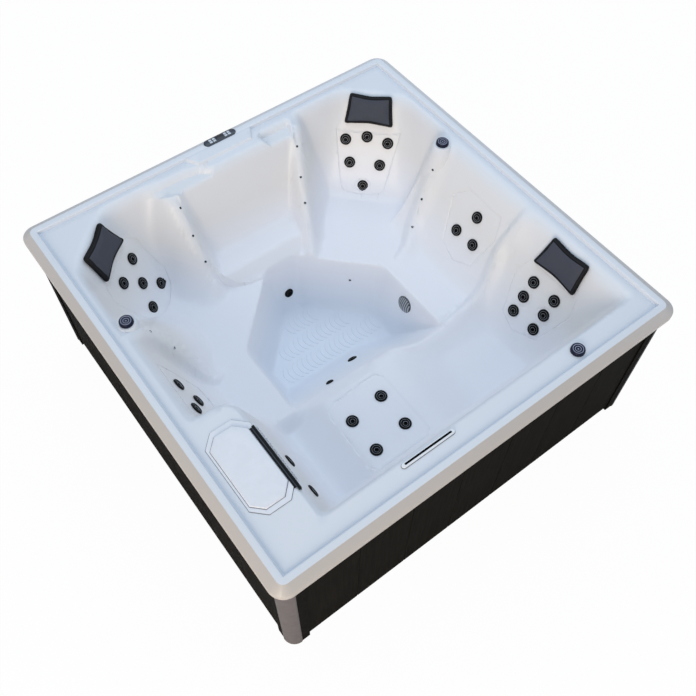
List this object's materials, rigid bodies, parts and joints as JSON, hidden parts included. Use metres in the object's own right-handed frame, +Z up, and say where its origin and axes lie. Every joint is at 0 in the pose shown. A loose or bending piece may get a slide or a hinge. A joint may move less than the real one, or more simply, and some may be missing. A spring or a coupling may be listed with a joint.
{
  "type": "acrylic hot tub",
  "caption": "Square acrylic hot tub with moulded corner seats, a lounger, turning jets, pillows, lift-off filter lid and dark cabinet panels.",
  "frame": {"origin": "middle of the underside of the base pan", "axes": "+Z up; the long front panel beside the lounger faces -Y, the keypad is at +Y"},
  "size_m": [2.13, 2.13, 0.8563],
  "materials": {
    "acrylic": "white gloss acrylic with a cool tint",
    "panel": "charcoal, satin",
    "corner": "charcoal flanges with a grey band round the bend",
    "pan": "black sheet plastic",
    "timber": "treated softwood",
    "pillow": "dark grey skinned foam with a black edge",
    "jet": "black bezel with a grey ring",
    "valve": "navy with pale rings",
    "keypad": "pale plate with dark keys",
    "white_plastic": "white, satin gloss",
    "grey_plastic": "grey, satin",
    "filter_media": "pleated white fabric",
    "motor": "black pump housing"
  },
  "bodies": {
    "tub": {"acrylic_shell": "acrylic", "base_pan": "pan", "filter_trim": "white_plastic", "heater_pack": "grey_plastic", "keypad": "keypad", "panel_back": "panel", "panel_front": "panel", "panel_left": "panel", "panel_right": "panel", "pillow_lounger": "pillow", "pillow_rear_left": "pillow", "pillow_rear_right": "pillow", "post_front_left": "corner", "post_front_right": "corner", "post_rear_left": "corner", "post_rear_right": "corner", "pump_left": "motor", "pump_right": "motor", "return_1": "jet", "return_2": "jet", "return_3": "jet", "suction_cover": "grey_plastic", "support_frame": "timber", "waterfall_spout": "white_plastic"},
    "jet_calf_1_body": {"jet_calf_1": "jet"},
    "jet_calf_2_body": {"jet_calf_2": "jet"},
    "jet_calf_3_body": {"jet_calf_3": "jet"},
    "jet_calf_4_body": {"jet_calf_4": "jet"},
    "jet_foot_1_body": {"jet_foot_1": "jet"},
    "jet_foot_2_body": {"jet_foot_2": "jet"},
    "jet_left_1_body": {"jet_left_1": "jet"},
    "jet_left_2_body": {"jet_left_2": "jet"},
    "jet_left_3_body": {"jet_left_3": "jet"},
    "jet_lounger_1_body": {"jet_lounger_1": "jet"},
    "jet_lounger_2_body": {"jet_lounger_2": "jet"},
    "jet_lounger_3_body": {"jet_lounger_3": "jet"},
    "jet_lounger_4_body": {"jet_lounger_4": "jet"},
    "jet_lounger_5_body": {"jet_lounger_5": "jet"},
    "jet_lounger_6_body": {"jet_lounger_6": "jet"},
    "jet_rear_left_1_body": {"jet_rear_left_1": "jet"},
    "jet_rear_left_2_body": {"jet_rear_left_2": "jet"},
    "jet_rear_left_3_body": {"jet_rear_left_3": "jet"},
    "jet_rear_left_4_body": {"jet_rear_left_4": "jet"},
    "jet_rear_left_5_body": {"jet_rear_left_5": "jet"},
    "jet_rear_right_1_body": {"jet_rear_right_1": "jet"},
    "jet_rear_right_2_body": {"jet_rear_right_2": "jet"},
    "jet_rear_right_3_body": {"jet_rear_right_3": "jet"},
    "jet_rear_right_4_body": {"jet_rear_right_4": "jet"},
    "jet_rear_right_5_body": {"jet_rear_right_5": "jet"},
    "jet_rear_right_6_body": {"jet_rear_right_6": "jet"},
    "jet_right_1_body": {"jet_right_1": "jet"},
    "jet_right_2_body": {"jet_right_2": "jet"},
    "jet_right_3_body": {"jet_right_3": "jet"},
    "valve_left_body": {"valve_left": "valve"},
    "valve_right_body": {"valve_right": "valve"},
    "valve_front_body": {"valve_front": "valve"},
    "filter_lid_body": {"filter_lid": "white_plastic"},
    "weir_flap_body": {"weir_flap": "grey_plastic"},
    "filter_cartridge_1_body": {"filter_cartridge_1": "filter_media"},
    "filter_cartridge_2_body": {"filter_cartridge_2": "filter_media"}
  },
  "joints": [
    {"name": "jet_calf_1_turn", "type": "hinge", "parent": "tub", "child": "jet_calf_1_body", "pos_m": [-0.09753, -0.45032, 0.42], "axis": [0, 0, 1], "range_deg": [0, 90]},
    {"name": "jet_calf_2_turn", "type": "hinge", "parent": "tub", "child": "jet_calf_2_body", "pos_m": [-0.28353, -0.47524, 0.42], "axis": [0, 0, 1], "range_deg": [0, 90]},
    {"name": "jet_calf_3_turn", "type": "hinge", "parent": "tub", "child": "jet_calf_3_body", "pos_m": [-0.09753, -0.62832, 0.42], "axis": [0, 0, 1], "range_deg": [0, 90]},
    {"name": "jet_calf_4_turn", "type": "hinge", "parent": "tub", "child": "jet_calf_4_body", "pos_m": [-0.28353, -0.65324, 0.42], "axis": [0, 0, 1], "range_deg": [0, 90]},
    {"name": "jet_foot_1_turn", "type": "hinge", "parent": "tub", "child": "jet_foot_1_body", "pos_m": [-0.67489, -0.55746, 0.64236], "axis": [0.9397, 0, 0.342], "range_deg": [0, 90]},
    {"name": "jet_foot_2_turn", "type": "hinge", "parent": "tub", "child": "jet_foot_2_body", "pos_m": [-0.67489, -0.72246, 0.64236], "axis": [0.9397, 0, 0.342], "range_deg": [0, 90]},
    {"name": "jet_left_1_turn", "type": "hinge", "parent": "tub", "child": "jet_left_1_body", "pos_m": [-0.86311, -0.002, 0.69793], "axis": [0.8988, 0, 0.4384], "range_deg": [0, 90]},
    {"name": "jet_left_2_turn", "type": "hinge", "parent": "tub", "child": "jet_left_2_body", "pos_m": [-0.86311, -0.146, 0.69793], "axis": [0.8988, 0, 0.4384], "range_deg": [0, 90]},
    {"name": "jet_left_3_turn", "type": "hinge", "parent": "tub", "child": "jet_left_3_body", "pos_m": [-0.82322, -0.074, 0.61614], "axis": [0.8988, 0, 0.4384], "range_deg": [0, 90]},
    {"name": "jet_lounger_1_turn", "type": "hinge", "parent": "tub", "child": "jet_lounger_1_body", "pos_m": [0.79589, -0.48299, 0.62044], "axis": [-0.848, 0, 0.5299], "range_deg": [0, 90]},
    {"name": "jet_lounger_2_turn", "type": "hinge", "parent": "tub", "child": "jet_lounger_2_body", "pos_m": [0.7482, -0.48299, 0.54412], "axis": [-0.848, 0, 0.5299], "range_deg": [0, 90]},
    {"name": "jet_lounger_3_turn", "type": "hinge", "parent": "tub", "child": "jet_lounger_3_body", "pos_m": [0.7005, -0.48299, 0.4678], "axis": [-0.848, 0, 0.5299], "range_deg": [0, 90]},
    {"name": "jet_lounger_4_turn", "type": "hinge", "parent": "tub", "child": "jet_lounger_4_body", "pos_m": [0.79589, -0.62099, 0.62044], "axis": [-0.848, 0, 0.5299], "range_deg": [0, 90]},
    {"name": "jet_lounger_5_turn", "type": "hinge", "parent": "tub", "child": "jet_lounger_5_body", "pos_m": [0.7482, -0.62099, 0.54412], "axis": [-0.848, 0, 0.5299], "range_deg": [0, 90]},
    {"name": "jet_lounger_6_turn", "type": "hinge", "parent": "tub", "child": "jet_lounger_6_body", "pos_m": [0.7005, -0.62099, 0.4678], "axis": [-0.848, 0, 0.5299], "range_deg": [0, 90]},
    {"name": "jet_rear_left_1_turn", "type": "hinge", "parent": "tub", "child": "jet_rear_left_1_body", "pos_m": [-0.67037, 0.78351, 0.62384], "axis": [0.5997, -0.5997, 0.5299], "range_deg": [0, 90]},
    {"name": "jet_rear_left_2_turn", "type": "hinge", "parent": "tub", "child": "jet_rear_left_2_body", "pos_m": [-0.77502, 0.67886, 0.62384], "axis": [0.5997, -0.5997, 0.5299], "range_deg": [0, 90]},
    {"name": "jet_rear_left_3_turn", "type": "hinge", "parent": "tub", "child": "jet_rear_left_3_body", "pos_m": [-0.6841, 0.69259, 0.53649], "axis": [0.5997, -0.5997, 0.5299], "range_deg": [0, 90]},
    {"name": "jet_rear_left_4_turn", "type": "hinge", "parent": "tub", "child": "jet_rear_left_4_body", "pos_m": [-0.59318, 0.70632, 0.44914], "axis": [0.5997, -0.5997, 0.5299], "range_deg": [0, 90]},
    {"name": "jet_rear_left_5_turn", "type": "hinge", "parent": "tub", "child": "jet_rear_left_5_body", "pos_m": [-0.69783, 0.60167, 0.44914], "axis": [0.5997, -0.5997, 0.5299], "range_deg": [0, 90]},
    {"name": "jet_rear_right_1_turn", "type": "hinge", "parent": "tub", "child": "jet_rear_right_1_body", "pos_m": [0.65067, 0.82037, 0.62723], "axis": [-0.5997, -0.5997, 0.5299], "range_deg": [0, 90]},
    {"name": "jet_rear_right_2_turn", "type": "hinge", "parent": "tub", "child": "jet_rear_right_2_body", "pos_m": [0.74034, 0.74883, 0.64775], "axis": [-0.5997, -0.5997, 0.5299], "range_deg": [0, 90]},
    {"name": "jet_rear_right_3_turn", "type": "hinge", "parent": "tub", "child": "jet_rear_right_3_body", "pos_m": [0.81188, 0.65915, 0.62723], "axis": [-0.5997, -0.5997, 0.5299], "range_deg": [0, 90]},
    {"name": "jet_rear_right_4_turn", "type": "hinge", "parent": "tub", "child": "jet_rear_right_4_body", "pos_m": [0.6279, 0.75246, 0.52461], "axis": [-0.5997, -0.5997, 0.5299], "range_deg": [0, 90]},
    {"name": "jet_rear_right_5_turn", "type": "hinge", "parent": "tub", "child": "jet_rear_right_5_body", "pos_m": [0.74397, 0.63638, 0.52461], "axis": [-0.5997, -0.5997, 0.5299], "range_deg": [0, 90]},
    {"name": "jet_rear_right_6_turn", "type": "hinge", "parent": "tub", "child": "jet_rear_right_6_body", "pos_m": [0.6406, 0.64908, 0.422], "axis": [-0.5997, -0.5997, 0.5299], "range_deg": [0, 90]},
    {"name": "jet_right_1_turn", "type": "hinge", "parent": "tub", "child": "jet_right_1_body", "pos_m": [0.82185, -0.04, 0.662], "axis": [-0.848, 0, 0.5299], "range_deg": [0, 90]},
    {"name": "jet_right_2_turn", "type": "hinge", "parent": "tub", "child": "jet_right_2_body", "pos_m": [0.75614, 0.021, 0.55684], "axis": [-0.848, 0, 0.5299], "range_deg": [0, 90]},
    {"name": "jet_right_3_turn", "type": "hinge", "parent": "tub", "child": "jet_right_3_body", "pos_m": [0.75614, -0.101, 0.55684], "axis": [-0.848, 0, 0.5299], "range_deg": [0, 90]},
    {"name": "valve_left_turn", "type": "hinge", "parent": "tub", "child": "valve_left_body", "pos_m": [-0.90738, 0.31631, 0.835], "axis": [0, 0, 1], "range_deg": [0, 180]},
    {"name": "valve_right_turn", "type": "hinge", "parent": "tub", "child": "valve_right_body", "pos_m": [0.88821, 0.33121, 0.835], "axis": [0, 0, 1], "range_deg": [0, 180]},
    {"name": "valve_front_turn", "type": "hinge", "parent": "tub", "child": "valve_front_body", "pos_m": [0.54634, -0.94572, 0.835], "axis": [0, 0, 1], "range_deg": [0, 180]},
    {"name": "filter_lid_lift", "type": "slide", "parent": "tub", "child": "filter_lid_body", "axis": [0, 0, 1], "range_m": [0, 0.25]},
    {"name": "weir_flap_tilt", "type": "hinge", "parent": "tub", "child": "weir_flap_body", "pos_m": [-0.757, -0.55998, 0.7293], "axis": [0, -1, 0], "range_deg": [0, 20]},
    {"name": "filter_cartridge_1_unscrew", "type": "hinge", "parent": "tub", "child": "filter_cartridge_1_body", "pos_m": [-0.862, -0.63998, 0.4803], "axis": [0, 0, 1], "range_deg": [0, 90]},
    {"name": "filter_cartridge_2_unscrew", "type": "hinge", "parent": "tub", "child": "filter_cartridge_2_body", "pos_m": [-0.862, -0.47998, 0.4803], "axis": [0, 0, 1], "range_deg": [0, 90]}
  ]
}
